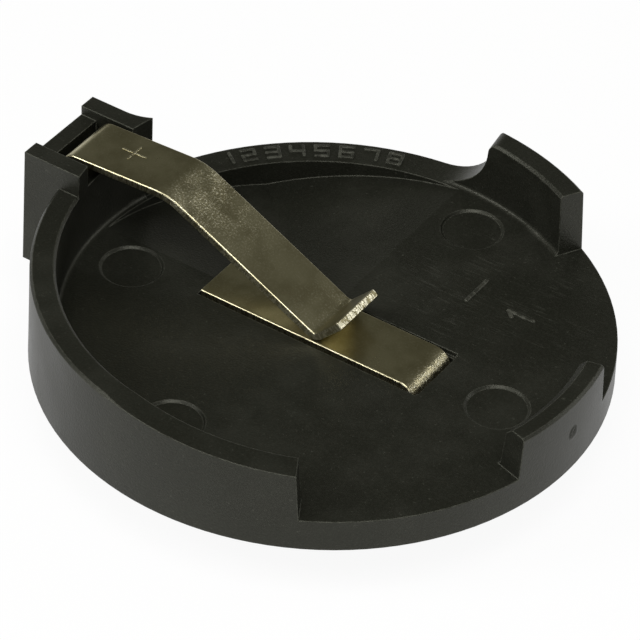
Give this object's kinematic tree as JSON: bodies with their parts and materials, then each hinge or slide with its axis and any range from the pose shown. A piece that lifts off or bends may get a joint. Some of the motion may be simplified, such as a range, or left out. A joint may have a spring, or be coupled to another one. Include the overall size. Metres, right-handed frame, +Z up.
{
  "type": "coin cell holder",
  "caption": "Open board-mounted holder for a coin cell: low round tray with partial walls, a terminal block with a bent spring arm over the pocket, and a contact plate in the floor.",
  "frame": {"origin": "centre of the round tray's underside, where it rests on the board", "axes": "+Z up out of the board; -X toward the terminal block with the positive contact, +X toward the side where the cell is put in; +Y toward the thumb scoop"},
  "size_m": [0.029, 0.0274, 0.0094],
  "materials": {
    "housing_plastic": "satin black moulded thermoplastic",
    "contact_metal": "dull nickel-plated spring strip"
  },
  "bodies": {
    "root": {"housing": "housing_plastic", "positive_contact": "contact_metal", "negative_contact": "contact_metal"}
  },
  "joints": []
}
